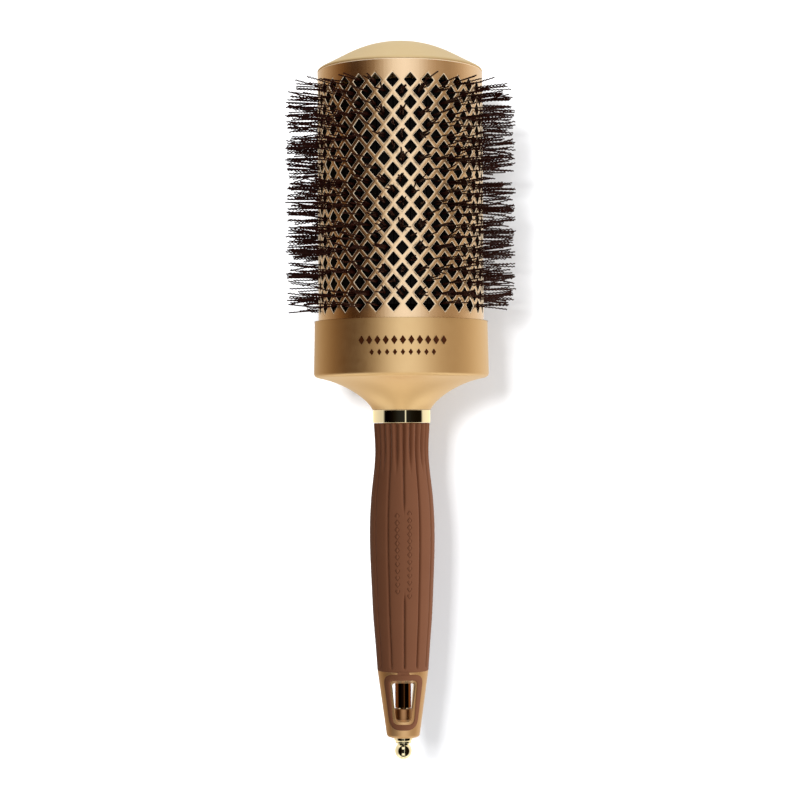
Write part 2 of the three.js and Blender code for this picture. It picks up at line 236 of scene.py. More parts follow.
def noise(nodes, links, scale, detail=3):
    """Noise over the object's own coordinates; `scale` is in features per metre."""
    place = nodes.new("ShaderNodeTexCoord")
    texture = nodes.new("ShaderNodeTexNoise")
    texture.inputs["Scale"].default_value = scale
    texture.inputs["Detail"].default_value = detail
    links.new(place.outputs["Object"], texture.inputs["Vector"])
    return texture.outputs["Fac"]


def add_grain(nodes, links, shader, scale, depth):
    """Fine bumps `depth` metres high."""
    bump = nodes.new("ShaderNodeBump")
    bump.inputs["Strength"].default_value = 1
    bump.inputs["Distance"].default_value = depth
    links.new(noise(nodes, links, scale), bump.inputs["Height"])
    links.new(bump.outputs["Normal"], shader.inputs["Normal"])


def vary(nodes, links, value, low, high):
    """Maps a 0 to 1 value onto the range low to high."""
    spread = nodes.new("ShaderNodeMapRange")
    spread.inputs["From Min"].default_value = 0.3
    spread.inputs["From Max"].default_value = 0.7
    spread.inputs["To Min"].default_value = low
    spread.inputs["To Max"].default_value = high
    links.new(value, spread.inputs["Value"])
    return spread.outputs["Result"]


def mix_colours(nodes, links, factor, first, second):
    """Mixes two colours, each of them linked or plain."""
    blend = nodes.new("ShaderNodeMix")
    blend.data_type = "RGBA"
    links.new(factor, blend.inputs[0])
    for socket, value in ((blend.inputs[6], first), (blend.inputs[7], second)):
        if isinstance(value, (tuple, list)):
            socket.default_value = value
        else:
            links.new(value, socket)
    return blend.outputs[2]


def metal(name, colour, deep_colour, roughness, grain_depth, metallic=1.0):
    """Coated metal: cloudy colour, slightly uneven gloss and a fine grain."""
    material, nodes, links, shader = new_material(name)
    cloud = noise(nodes, links, 60)
    links.new(mix_colours(nodes, links, cloud, colour, deep_colour), shader.inputs["Base Color"])
    links.new(vary(nodes, links, noise(nodes, links, 400), roughness * 0.95, roughness * 1.05),
              shader.inputs["Roughness"])
    shader.inputs["Metallic"].default_value = metallic
    if grain_depth:
        add_grain(nodes, links, shader, 4000, grain_depth)
    return material


def painted_highlight_glow(material, colour, strength):
    """Adds a little emission as a painted highlight, for edges that would catch every lamp of the
    studio.
    """
    shader = material.node_tree.nodes["Principled BSDF"]
    shader.inputs["Emission Color"].default_value = colour
    shader.inputs["Emission Strength"].default_value = strength
    return material


def step_between(nodes, links, value, low, high):
    """0 below `low`, 1 above `high`, smooth between them."""
    step = nodes.new("ShaderNodeMapRange")
    step.interpolation_type = "SMOOTHSTEP"
    step.inputs["From Min"].default_value = low
    step.inputs["From Max"].default_value = high
    links.new(value, step.inputs["Value"])
    return step.outputs["Result"]


# Where a polished piece gets its painted reflections and highlights, by the parts of its reflected
# direction.
RIM_LEAN = -0.13  # makes the painted bright rim wider on the left than on the right
RIM_EDGE = (-0.22, -0.02)
LINE_PLACE, LINE_EDGE, LINE_LEVEL = 0.27, (0.02, 0.07), 0.75
SPOT_START, SPOT_END, SPOT_SIDE = (0.38, 0.52), (0.80, 0.92), (0.24, 0.38)


def painted_reflection_metal(name, colour, painted_glow):
    """Polished metal with painted reflections: painted dark where its reflection points to the
    camera's side of the room, with a painted thin bright line, two painted highlights above and
    below, and a painted bright rim. The painted bright parts also glow with the given strength
    times their colour."""
    material, nodes, links, shader = new_material(name)
    place = nodes.new("ShaderNodeTexCoord")
    right, up, away = in_camera_space(nodes, links, place.outputs["Reflection"])
    leaning = math_node(nodes, links, "MULTIPLY_ADD", right, RIM_LEAN, away)
    rim = step_between(nodes, links, leaning, *RIM_EDGE)
    line_distance = math_node(nodes, links, "ABSOLUTE",
                              math_node(nodes, links, "SUBTRACT", right, LINE_PLACE))
    line = math_node(nodes, links, "SUBTRACT", LINE_LEVEL,
                     step_between(nodes, links, line_distance, *LINE_EDGE))
    slope = math_node(nodes, links, "ABSOLUTE", up)
    steep = math_node(nodes, links, "SUBTRACT", step_between(nodes, links, slope, *SPOT_START),
                      step_between(nodes, links, slope, *SPOT_END))
    centred = math_node(nodes, links, "SUBTRACT", 1.0, step_between(
        nodes, links, math_node(nodes, links, "ABSOLUTE", right), *SPOT_SIDE))
    highlight = math_node(nodes, links, "MULTIPLY", steep, centred)
    bright = math_node(nodes, links, "MAXIMUM", rim, line)
    bright = math_node(nodes, links, "MAXIMUM", bright, highlight)
    dark = [c * 0.02 for c in colour[:3]] + [1]
    light = [c * 0.5 for c in colour[:3]] + [1]
    links.new(mix_colours(nodes, links, bright, dark, light), shader.inputs["Base Color"])
    shader.inputs["Emission Color"].default_value = colour
    links.new(math_node(nodes, links, "MULTIPLY", bright, painted_glow),
              shader.inputs["Emission Strength"])
    shader.inputs["Metallic"].default_value = 1
    links.new(vary(nodes, links, noise(nodes, links, 500), 0.04, 0.08),
              shader.inputs["Roughness"])
    shader.inputs["Specular Tint"].default_value = colour
    return material


def soft_rubber():
    """Matt brown rubber with a very fine grain."""
    material, nodes, links, shader = new_material("brown_rubber")
    colour = mix_colours(nodes, links, noise(nodes, links, 90), linear(133, 86, 60),
                         linear(126, 79, 54))
    links.new(colour, shader.inputs["Base Color"])
    shader.inputs["Roughness"].default_value = 0.6
    shader.inputs["Specular IOR Level"].default_value = 0.12
    add_grain(nodes, links, shader, 6000, 0.00002)
    return material


def plastic(name, colour, roughness, gloss=0.15):
    """Matt moulding or print, a little uneven in colour."""
    material, nodes, links, shader = new_material(name)
    shade = [c * 0.8 for c in colour[:3]] + [1]
    links.new(mix_colours(nodes, links, noise(nodes, links, 200), colour, shade),
              shader.inputs["Base Color"])
    shader.inputs["Roughness"].default_value = roughness
    shader.inputs["Specular IOR Level"].default_value = gloss
    add_grain(nodes, links, shader, 3000, 0.00001)
    return material


def nylon():
    """Near-black brown strands, redder here and there, with a soft gloss."""
    material, nodes, links, shader = new_material("nylon_bristle")
    tint = mix_colours(nodes, links, noise(nodes, links, 700), linear(24, 9, 6),
                       linear(62, 23, 15))
    links.new(tint, shader.inputs["Base Color"])
    shader.inputs["Roughness"].default_value = 0.4
    shader.inputs["Specular IOR Level"].default_value = 0.1
    return material


def make_materials():
    return {
        "barrel": metal("barrel_gold", linear(248, 216, 176), linear(244, 210, 168), 0.26,
                        0.000003),
        # vent edges and tube end bevels: paler colour and a little emission, a painted highlight
        "painted_edge_highlight": painted_highlight_glow(metal("painted_edge_highlight", linear(255, 238, 210), linear(252, 232, 200),
                                  0.4, 0, 0.5), linear(255, 236, 208), 0.2),
        "cup": metal("cup_gold", linear(237, 202, 149), linear(234, 198, 144), 0.42, 0.000003),
        "cap": metal("cap_gold", linear(234, 212, 166), linear(230, 207, 160), 0.46, 0.000005),
        "tip": metal("tip_gold", linear(224, 184, 134), linear(217, 175, 124), 0.42, 0.000006, 0.9),
        # window's cut faces: a little emission, a painted highlight on the rim
        "window_rim": painted_highlight_glow(metal("window_rim", linear(250, 216, 166), linear(244, 208, 156), 0.35,
                                 0.000003), linear(250, 214, 160), 0.1),
        # ring, ferrule, ball and pick: colour and glow painted from the reflected direction,
        # painted reflections and highlights
        "reflection_painted_gold": painted_reflection_metal("polished_gold", linear(252, 238, 194), 0.65),
        # guide tube: the same painted reflections and highlights, darker
        "bronze": painted_reflection_metal("bronze_painted_reflection", linear(150, 92, 50), 0.3),
        # guide bush: the tip's gold made darker, painted shade inside the window
        "bush": metal("bush_gold_painted_shade", linear(176, 132, 92), linear(164, 120, 82), 0.35, 0.000004),
        "rubber": soft_rubber(),
        "black": plastic("black_plastic", linear(5, 4, 4), 0.7),
        "nylon": nylon(),
        "steel": metal("steel", linear(180, 180, 182), linear(165, 165, 168), 0.3, 0.000004),
        # darker rubber round the grip's raised lozenges: a painted shadow outline
        "rubber_painted_shadow": plastic("rubber_painted_shadow", linear(92, 54, 36), 0.7, 0.05),
        "print": plastic("dark_print", linear(76, 36, 14), 0.7, 0.05),
    }


# ---- Barrel ----

# Steps along one side of a vent's cell; they close up towards the corners.
CELL_STEPS = (0, 0.06, 0.3, 0.5, 0.7, 0.94)
CORNER_CUT = 0.965  # how far out the rounded corner of a vent reaches
BARREL_RIM_CUT = 0.4  # bevel at both ends of the tube


def vent_rows(barrel_top):
    """(height, angle offset in columns) of every row of vents, from the top down."""
    top = barrel_top - TOP_VENT_BELOW_EDGE
    rows = []
    for i in range(LONG_ROWS + SHORT_ROWS):
        rows.append((top - i * ROW_PITCH / 2, 0.5 if i % 2 == 0 else 0.0))
    return rows


def diamond(half_width, half_height, corner):
    """Points round a diamond from its right corner, anticlockwise; corners pulled in."""
    corners = [(half_width, 0), (0, half_height), (-half_width, 0), (0, -half_height)]
    points = []
    for i in range(4):
        start, end = np.array(corners[i]), np.array(corners[(i + 1) % 4])
        for t in CELL_STEPS:
            pull = corner if t == 0 else 1
            points.append((start + (end - start) * t) * pull)
    return points


def vent_outline(grow):
    """The vent's outline moved out by `grow` on every side."""
    slant = math.hypot(VENT_HALF_WIDTH, VENT_HALF_HEIGHT)
    scale = 1 + grow * slant / (VENT_HALF_WIDTH * VENT_HALF_HEIGHT)
    return diamond(VENT_HALF_WIDTH * scale, VENT_HALF_HEIGHT * scale, CORNER_CUT)


class SharedVertices:
    """Vertices on the barrel that neighbouring cells share."""

    def __init__(self):
        self.points = []
        self.known = {}

    def add(self, angle, radius, height):
        turns = (angle / (2 * math.pi)) % 1
        key = (round(turns * 1e5) % 100000, round(radius * 1e3), round(height * 1e3))
        if key not in self.known:
            self.known[key] = len(self.points)
            self.points.append((radius * math.sin(angle), -radius * math.cos(angle), height))
        return self.known[key]


def add_vent_cell(shared, faces, edge_faces, angle, height, outer_r):
    """The metal round one vent: outer face, rounded edge, hole wall and inner face."""
    half_column = math.pi / COLUMNS * outer_r
    inner_r = outer_r - BARREL_WALL
    cell = diamond(half_column, ROW_PITCH / 2, 1)
    layers = (
        (cell, outer_r),
        (vent_outline(VENT_EDGE), outer_r),
        (vent_outline(VENT_EDGE * 0.35), outer_r - VENT_EDGE * 0.3),
        (vent_outline(0), outer_r - VENT_EDGE),
        (vent_outline(VENT_DRAFT), inner_r),
        (cell, inner_r),
    )
    rings = [[shared.add(angle + x / outer_r, radius, height + z) for x, z in points]
             for points, radius in layers]
    for i, (outside, inside) in enumerate(zip(rings, rings[1:])):
        kind = edge_faces if i in (1, 2) else faces
        kind.extend(ring_faces(outside, inside))


def add_plain_band(shared, faces, edge_faces, zigzag_z, direction, edge_z, outer_r):
    """The plain sheet from the outer row of cells to the tube's end, on both faces. Its
    bevel goes to the edge faces."""
    inner_r = outer_r - BARREL_WALL
    steps = list(CELL_STEPS) + [2 - t for t in CELL_STEPS[:0:-1]] + [1.0]
    half_column = math.pi / COLUMNS
    columns = []
    for column in range(COLUMNS):
        for t in sorted(set(steps)):
            rise = (t if t <= 1 else 2 - t) * ROW_PITCH / 2
            angle = (2 * column + t) * half_column
            zigzag = zigzag_z + direction * rise
            columns.append([
                shared.add(angle, outer_r, zigzag),
                shared.add(angle, outer_r, edge_z - direction * BARREL_RIM_CUT),
                shared.add(angle, outer_r - BARREL_RIM_CUT, edge_z),
                shared.add(angle, inner_r, edge_z),
                shared.add(angle, inner_r, zigzag),
            ])
    for here, there in zip(columns, columns[1:] + columns[:1]):
        for i in range(len(here) - 1):
            quad = (here[i], there[i], there[i + 1], here[i + 1])
            kind = edge_faces if i == 1 else faces
            kind.append(quad if direction > 0 else quad[::-1])


def build_barrel(materials):
    """The vented tube as one closed solid; its vent edges and end bevels carry a painted highlight.
    """
    low, high = box_mm("barrel")
    outer_r = high[0]
    shared, faces, edge_faces = SharedVertices(), [], []
    rows = vent_rows(high[2])
    for height, offset in rows:
        for column in range(COLUMNS):
            angle = (column + offset) * 2 * math.pi / COLUMNS
            add_vent_cell(shared, faces, edge_faces, angle, height, outer_r)
    add_plain_band(shared, faces, edge_faces, rows[0][0], 1, high[2], outer_r)
    add_plain_band(shared, faces, edge_faces, rows[-1][0], -1, low[2], outer_r)
    barrel = make_piece("barrel_shell", shared.points, faces + edge_faces, materials["barrel"],
                        sharp_degrees=50)
    barrel.data.materials.append(materials["painted_edge_highlight"])
    indices = [0] * len(faces) + [1] * len(edge_faces)
    barrel.data.polygons.foreach_set("material_index", indices)
    weighted = barrel.modifiers.new("even_normals", "WEIGHTED_NORMAL")
    weighted.keep_sharp = True
    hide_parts("barrel")


# ---- Bristles ----


def strand_path(random, tip_radius, hole_angle, hole_height, barrel_r):
    """Centre line of one crimped strand through a vent."""
    angle = hole_angle + random.uniform(-1, 1) * ROOT_ACROSS / barrel_r
    height = hole_height + random.uniform(-ROOT_ALONG, ROOT_ALONG)
    outward = np.array([math.sin(angle), -math.cos(angle), 0])
    sideways = np.array([math.cos(angle), math.sin(angle), 0])
    upward = np.array([0, 0, 1.0])
    spread = WILD_LEAN if random.random() < WILD_SHARE else CALM_LEAN
    lean = np.clip(random.normal(0, spread, 2), -MOST_LEAN, MOST_LEAN)
    direction = outward + lean[0] * sideways + lean[1] * upward
    reach = tip_radius - barrel_r + random.uniform(SHORTEST, LONGEST)
    distance = np.arange(-STRAND_ROOT, reach, CRIMP_STEP)
    through = outward * barrel_r + upward * height
    turn = random.uniform(0, 2 * math.pi)
    across = math.cos(turn) * sideways + math.sin(turn) * upward
    phase = random.integers(0, 4)
    wave = np.sin((np.arange(len(distance)) + phase) * math.pi / 2) * CRIMP_HEIGHT
    bend = np.clip(distance, 0, None) ** 2 * random.normal(0, STRAND_BEND)
    side = -math.sin(turn) * sideways + math.cos(turn) * upward
    return (through + distance[:, None] * direction + wave[:, None] * across
            + bend[:, None] * side)


def tube_round(path, thickness, sides):
    """Vertices and faces of a closed tube round a path."""
    tangent = path[-1] - path[0]
    tangent = tangent / np.linalg.norm(tangent)
    first = np.cross(tangent, (0.3, 0.2, 0.9))  # a direction that no strand takes
    first /= np.linalg.norm(first)
    second = np.cross(tangent, first)
    turns = np.arange(sides) * 2 * math.pi / sides
    section = (np.outer(np.cos(turns), first) + np.outer(np.sin(turns), second)) * thickness / 2
    vertices = (path[:, None, :] + section[None, :, :]).reshape(-1, 3)
    rings = np.arange(len(vertices)).reshape(-1, sides).tolist()
    faces = [tuple(rings[0][::-1]), tuple(rings[-1])]
    for lower, upper in zip(rings, rings[1:]):
        faces.extend(ring_faces(lower, upper))
    return vertices, faces


def strip_rail(index, inner_r, outer_r, bottom, top):
    """Moulded rail that one strip's strands stand on, as a closed block."""
    middle = index * 2 * math.pi / COLUMNS
    half = RAIL_SHARE * math.pi / COLUMNS
    vertices = []
    for z in (bottom, top):
        for radius in (inner_r, outer_r):
            for side in (-1, 1):
                angle = middle + side * half
                vertices.append((radius * math.sin(angle), -radius * math.cos(angle), z))
    faces = [(0, 1, 3, 2), (4, 6, 7, 5), (0, 4, 5, 1), (2, 3, 7, 6), (0, 2, 6, 4), (1, 5, 7, 3)]
    return vertices, faces


def build_bristle_strip(index, random, materials, barrel_top, barrel_r, tip_radius):
    """One strip: its rail, and strands through its own vents and the column beside it."""
    name = f"bristle_strip_{index + 1:02d}"
    rail_r = box_mm("inner_core")[1][0] + GAP
    low, high = box_mm(name)
    vertices, faces = strip_rail(index, rail_r, barrel_r - RAIL_DEPTH, low[2], high[2])
    rail_faces = len(faces)
    for height, offset in vent_rows(barrel_top):
        angle = (index + offset) * 2 * math.pi / COLUMNS
        chances = FULL_TUFTS if offset == 0 else THIN_TUFTS
        for _ in range(random.choice(len(chances), p=chances)):
            path = strand_path(random, tip_radius, angle, height, barrel_r)
            points, quads = tube_round(path, STRAND_THICKNESS, STRAND_SIDES)
            start = len(vertices)
            vertices.extend(points)
            faces.extend(tuple(start + v for v in face) for face in quads)
    strands = make_piece(f"strands_{index + 1:02d}", vertices, faces, materials["nylon"],
                         sharp_degrees=80)
    strands.data.materials.append(materials["black"])
    indices = [1] * rail_faces + [0] * (len(faces) - rail_faces)
    strands.data.polygons.foreach_set("material_index", indices)
    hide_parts(name)


def build_bristles(materials):
    high = box_mm("barrel")[1]
    tip_radius = -box_mm("bristle_strip_01")[0][1]
    random = np.random.default_rng(SEED)
    for index in range(COLUMNS):
        build_bristle_strip(index, random, materials, high[2], high[0], tip_radius)


# ---- Cap, cup and ring ----


def build_end_cap(materials):
    """Domed cap with a rounded edge and a plug skirt."""
    low, high = box_mm("end_cap")
    radius, top = high[0], high[2]
    seam = box_mm("barrel")[1][2] + CAP_SEAM
    dome_r, dome_height, thickness, skirt_wall = 22.3, 6.8, 2.2, 1.5
    edge = (radius - 1.8, seam + 1.45)  # where the rounded edge ends
    foot = (dome_r, top - dome_height)
    outside = [np.array((radius, seam))]
    outside += bezier((radius, seam), (radius, seam + 0.6), (radius - 0.9, seam + 1.0), edge, 10)
    outside += [np.array(edge) + (np.array(foot) - edge) * t for t in (0.25, 0.5, 0.75, 1)]
    outside += bezier(foot, (0.8 * dome_r, top - 0.66 * dome_height), (dome_r / 2, top),
                      (0, top), 32)
    skirt = radius - BARREL_WALL - GAP
    inside = [(0, top - thickness), (dome_r / 2, top - thickness - 1.5),
              (skirt - skirt_wall, seam), (skirt - skirt_wall, low[2]), (skirt, low[2]),
              (skirt, seam)]
    cap = turned("cap_dome", outside + inside, materials["cap"])
    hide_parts("end_cap")


def build_base_cup(materials):
    """Band, trumpet down to the neck, and the hollow inside with its boss."""
    low, high = box_mm("base_cup")
    radius, bottom, top = high[0], low[2], high[2]
    corner_z = bottom + 10.45  # lower corner of the band
    floor_z, boss_top = bottom + 13.25, bottom + 13.35
    neck_r = 9.6
    neck = (neck_r, bottom + 0.25)
    # Known fault: in a list of two, `rounded` folds a corner back instead of rounding it.
    outline = rounded([(HANDLE_BORE, bottom, 0), (neck_r, bottom, 0.2)], 3)
    outline += bezier(neck, (11.5, bottom + 4), (19, bottom + 9), (radius - 1.4, corner_z), 30)
    outline += bezier((radius - 1.4, corner_z), (radius - 0.5, corner_z + 0.3),
                      (radius, corner_z + 0.7), (radius, corner_z + 1.6), 10)
    wall = box_mm("barrel")[1][0] + SEAM
    outline += rounded([(radius, top, 0.35), (wall, top, 0.25)], 5)
    outline += [(wall, floor_z), (24.5, floor_z), (17, bottom + 9.95),
                (10.6, bottom + 5.35), (10, boss_top), (HANDLE_BORE, boss_top)]
    cup = turned("cup_shell", outline, materials["cup"])
    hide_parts("base_cup")
    build_cup_print(materials, radius, corner_z, top)


def curved_lozenge(angle, height, half_width, half_height, radius, thickness):
    """Thin diamond plate that lies on a cylinder; its vertices run round its lower face, then round
    its upper face.
    """
    corners = [(half_width, 0), (0, half_height), (-half_width, 0), (0, -half_height)]
    vertices = []
    for level in (radius, radius + thickness):
        for x, z in corners:
            turn = angle + x / radius
            vertices.append((level * math.sin(turn), -level * math.cos(turn), height + z))
    faces = [(3, 2, 1, 0), (4, 5, 6, 7)]
    faces += [(i, (i + 1) % 4, (i + 1) % 4 + 4, i + 4) for i in range(4)]
    return vertices, faces


def join_parts(parts):
    vertices, faces = [], []
    for points, quads in parts:
        start = len(vertices)
        vertices.extend(points)
        faces.extend(tuple(start + v for v in face) for face in quads)
    return vertices, faces


# Rows of printed lozenges: height from the band's middle, count, pitch and half width.
PRINT_ROWS = ((1.9, 11, 2.7, 1.0), (-1.9, 9, 2.5, 0.7))
PRINT_SLIMNESS, PRINT_THICKNESS = 1.45, 0.03


def build_cup_print(materials, radius, corner_z, top):
    """Printed ornament: two staggered rows of lozenges, in place of any lettering."""
    middle = (corner_z + top) / 2 + 0.2
    parts = []
    for height, count, pitch, size in PRINT_ROWS:
        for i in range(count):
            angle = (i - (count - 1) / 2) * pitch / radius
            parts.append(curved_lozenge(angle, middle + height, size, size * PRINT_SLIMNESS,
                                        radius, PRINT_THICKNESS))
    vertices, faces = join_parts(parts)
    mark = make_piece("cup_ornament", vertices, faces, materials["print"])


def build_neck_ring(materials):
    low, high = box_mm("neck_ring")
    bottom, top = low[2] - SEAM / 2, high[2] + GAP - SEAM / 2
    outline = rounded([(HANDLE_BORE, bottom, 0), (high[0], bottom, 0.12),
                       (high[0], top, 0.12), (HANDLE_BORE, top, 0)], 4)
    ring = turned("ring_band", outline, materials["reflection_painted_gold"])
    ring.visible_glossy = False
    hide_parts("neck_ring")


# ---- Grip ----

GRIP_SHAPE = ((29.2, 8.35), (38, 8.95), (46.3, 9.65), (57.6, 10.15), (68.7, 10.6),
              (77.7, 10.6), (86.7, 10.05), (93.7, 9.15), (99.7, 8.66), (109.45, 9.2))
# Mesh columns near a groove, in degrees from its line.
GROOVE_SAMPLES = (-5.2, -3.6, -2.4, -1.5, -0.8, -0.35, 0, 0.35, 0.8, 1.5, 2.4, 3.6, 5.2, 7.5)
GROOVE_WIDTH, GROOVE_DEPTH, GROOVE_SHARPNESS = 0.27, 0.85, 1.5
NECK_EXTRA_WIDTH, NECK_EXTRA_DEPTH = 0.3, 0.4  # the grooves grow by this at the neck
SHORT_GROOVE_DEPTH = 1.2
# Heights between which each change takes place.
NECK_CHANGE, SHORT_GROOVE_FADE = (90.7, 104.7), (91.7, 102.7)
PAD_BOTTOM_FADE, PAD_TOP_FADE, GROOVE_BOTTOM_FADE = (51.4, 55.4), (79.7, 84.7), (29.9, 31)
PAD_NARROWING = 0.6


def smooth_step(value, low, high):
    t = np.clip((value - low) / (high - low), 0, 1)
    return t * t * (3 - 2 * t)


def grip_radius(z):
    """Grip radius without grooves: a smooth curve through GRIP_SHAPE."""
    heights, radii = np.array(GRIP_SHAPE).T
    fine = np.linspace(heights[0], heights[-1], 400)
    straight = np.interp(fine, heights, radii)
    kernel = np.hanning(61)
    padded = np.pad(straight, 30, mode="reflect", reflect_type="odd")
    soft = np.convolve(padded, kernel / kernel.sum(), mode="valid")
    return np.interp(z, fine, soft)


def groove_depth(groove, offset_mm, z):
    """Depth of a groove at a distance from its line. Even grooves run the grip's length;
    odd ones fade out below the neck. The front and back ones stop for a plain pad."""
    neck = smooth_step(z, *NECK_CHANGE)
    width = GROOVE_WIDTH + NECK_EXTRA_WIDTH * neck
    depth = GROOVE_DEPTH + NECK_EXTRA_DEPTH * neck
    if groove % 2:
        depth = SHORT_GROOVE_DEPTH * smooth_step(z, *SHORT_GROOVE_FADE)
    elif groove in (0, GROOVES):
        pad = smooth_step(z, *PAD_BOTTOM_FADE) * (1 - smooth_step(z, *PAD_TOP_FADE))
        depth = depth * (1 - pad)
        width = width * (1 - PAD_NARROWING * pad)
    depth = depth * smooth_step(z, *GROOVE_BOTTOM_FADE)
    return depth * np.exp(-(abs(offset_mm) / width) ** GROOVE_SHARPNESS)


def grip_columns():
    """(angle, groove, distance from the groove in degrees) round the grip."""
    spacing = 180 / GROOVES
    columns = []
    for groove in range(2 * GROOVES):
        for offset in GROOVE_SAMPLES:
            angle = GROOVE_TURN + math.radians(groove * spacing + offset)
            columns.append((angle, groove, offset))
    return columns


def build_grip(materials):
    """Fluted sleeve: rings of vertices up the grip, pulled in along the grooves."""
    high = box_mm("rubber_grip")[1]
    bottom = GRIP_SHAPE[0][0] - GAP + SEAM
    top = high[2] + GAP - SEAM
    heights = np.concatenate([np.linspace(bottom + 0.35, 33, 14), np.linspace(34, 88, 56),
                              np.linspace(89, top - 0.35, 44)])
    radii = grip_radius(heights)
    columns = grip_columns()
    count = len(columns)
    levels = [(bottom, radii[0] - 0.35, None), (bottom + 0.1, radii[0] - 0.1, None)]
    levels += [(z, r, z) for z, r in zip(heights, radii)]
    levels += [(top - 0.1, radii[-1] - 0.1, top - 0.1), (top, radii[-1] - 0.4, top)]
    levels += [(top, HANDLE_BORE, None), (bottom, HANDLE_BORE, None)]
    vertices, rings = [], []
    for z, radius, groove_z in levels:
        rings.append(list(range(len(vertices), len(vertices) + count)))
        for angle, groove, offset in columns:
            cut = 0
            if groove_z is not None:
                cut = groove_depth(groove, math.radians(offset) * radius, groove_z)
            r = radius - cut
            vertices.append((r * math.sin(angle), -r * math.cos(angle), z))
    faces = []
    for lower, upper in zip(rings, rings[1:] + rings[:1]):
        faces.extend(ring_faces(lower, upper))
    grip = make_piece("grip_sleeve", vertices, faces, materials["rubber"], sharp_degrees=60)
    grip.visible_glossy = False
    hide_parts("rubber_grip")
    build_grip_relief(materials)


def pointed_lozenge(angle, height, half_width, half_height, radius, rise):
    """Four-sided low pyramid on a block, on a cylinder."""
    block = 0.3
    vertices = curved_lozenge(angle, height, half_width, half_height, radius, block)[0]
    peak = radius + block + rise
    vertices.append((peak * math.sin(angle), -peak * math.cos(angle), height))
    faces = [(3, 2, 1, 0)]
    for i in range(4):
        j = (i + 1) % 4
        faces += [(i, j, j + 4, i + 4), (i + 4, j + 4, 8)]
    return vertices, faces


# Columns of raised lozenges: degrees round from the front, first height and count.
RELIEF_COLUMNS = ((-10, 55.5, 12), (12, 54, 13))
RELIEF_PITCH = 2.2
RELIEF_SINK = 0.25  # depth of the lozenges' bases below the surface


def build_grip_relief(materials):
    """Raised lozenges, each with a painted shadow outline of darker rubber round it, down the front
    pad, in place of any lettering.
    """
    lozenges, shadow_outlines = [], []
    for degrees, first, count in RELIEF_COLUMNS:
        angle = math.radians(degrees)
        for i in range(count):
            height = first + i * RELIEF_PITCH
            base = float(grip_radius(height)) - RELIEF_SINK
            # a larger, darker plate under each lozenge: painted shadow round it
            shadow_outlines.append(curved_lozenge(angle, height, 0.82, 1.08, base, 0.28))
            lozenges.append(pointed_lozenge(angle, height, 0.62, 0.85, base, 0.22))
    for name, parts, material in (("grip_relief", lozenges, "rubber"),
                                  ("grip_relief_painted_shadow", shadow_outlines, "rubber_painted_shadow")):
        vertices, faces = join_parts(parts)
        relief = make_piece(name, vertices, faces, materials[material], sharp_degrees=8)
        relief.visible_glossy = False


# ---- Handle tip ----

CONE_BOTTOM_R, CONE_TOP_R = 5.3, 8.3
SINK = 0.7  # how deep the rubber frames stand in the cone
# Section of a window frame from its outside to its inside: (part of its width, height).
FRAME_SECTION = ((0, -SINK), (0, -0.05), (0.05, 0.16), (0.18, 0.32), (0.38, 0.42),
                 (0.62, 0.42), (0.82, 0.30), (0.95, 0.08), (1, -0.12), (1, -SINK))


def cone_radius(z):
    """Outer radius of the handle's gold tip."""
    return np.interp(z, (8.5, 28.9), (CONE_BOTTOM_R, CONE_TOP_R))


def keystone(bottom, top, bottom_half, top_half, corner, steps=8):
    """Rounded keystone outline as (x, z) points, anticlockwise from the front."""
    corners = [(-bottom_half, bottom), (bottom_half, bottom), (top_half, top), (-top_half, top)]
    return rounded([(x, z, corner) for x, z in corners], steps)


def evenly(points, count):
    """The closed outline as `count` points, equally far apart."""
    points = np.array(list(points) + [points[0]])
    lengths = np.r_[0, np.cumsum(np.linalg.norm(np.diff(points, axis=0), axis=1))]
    places = np.arange(count) * lengths[-1] / count
    return np.column_stack([np.interp(places, lengths, points[:, i]) for i in (0, 1)])


def build_window_frame(materials, name, side):
    """Raised rubber frame on the cone; side is -1 at the front and 1 at the back."""
    count = 120
    outer = evenly(keystone(**FRAME_OUTSIDE), count)
    inner = evenly(keystone(**FRAME_INSIDE), count)
    vertices, rings = [], []
    for across, proud in FRAME_SECTION:
        rings.append(list(range(len(vertices), len(vertices) + count)))
        for x, z in outer + (inner - outer) * across:
            depth = math.sqrt(cone_radius(z) ** 2 - x ** 2) + proud
            vertices.append((x, side * depth, z))
    faces = []
    for lower, upper in zip(rings, rings[1:] + rings[:1]):
        faces.extend(ring_faces(lower, upper))
    if side > 0:
        faces = [face[::-1] for face in faces]
    piece = make_piece(name, vertices, faces, materials["rubber"], sharp_degrees=60)


def build_tongue(materials, name, side):
    """Small rubber bridge on the cone from the window's frame up to the grip."""
    outline = keystone(**TONGUE, steps=4)
    vertices = []
    for proud in (-SINK, 0.28):
        vertices += [(x, side * (math.sqrt(cone_radius(z) ** 2 - x ** 2) + proud), z)
                     for x, z in outline]
    count = len(outline)
    lower, upper = list(range(count)), list(range(count, 2 * count))
    faces = [tuple(lower[::-1]), tuple(upper)] + ring_faces(lower, upper)
    if side > 0:
        faces = [face[::-1] for face in faces]
    piece = make_piece(name, vertices, faces, materials["rubber"], sharp_degrees=60)


def loft_cutter(outlines, material):
    """Closed solid through outlines of (x, z) points at given y places, for cutting."""
    vertices, rings = [], []
    for y, points in outlines:
        rings.append(list(range(len(vertices), len(vertices) + len(points))))
        vertices.extend((x, y, z) for x, z in points)
    faces = [tuple(rings[0]), tuple(rings[-1][::-1])]
    for lower, upper in zip(rings, rings[1:]):
        faces.extend(face[::-1] for face in ring_faces(lower, upper))
    return make_piece("cutter", vertices, faces, material, body=None)


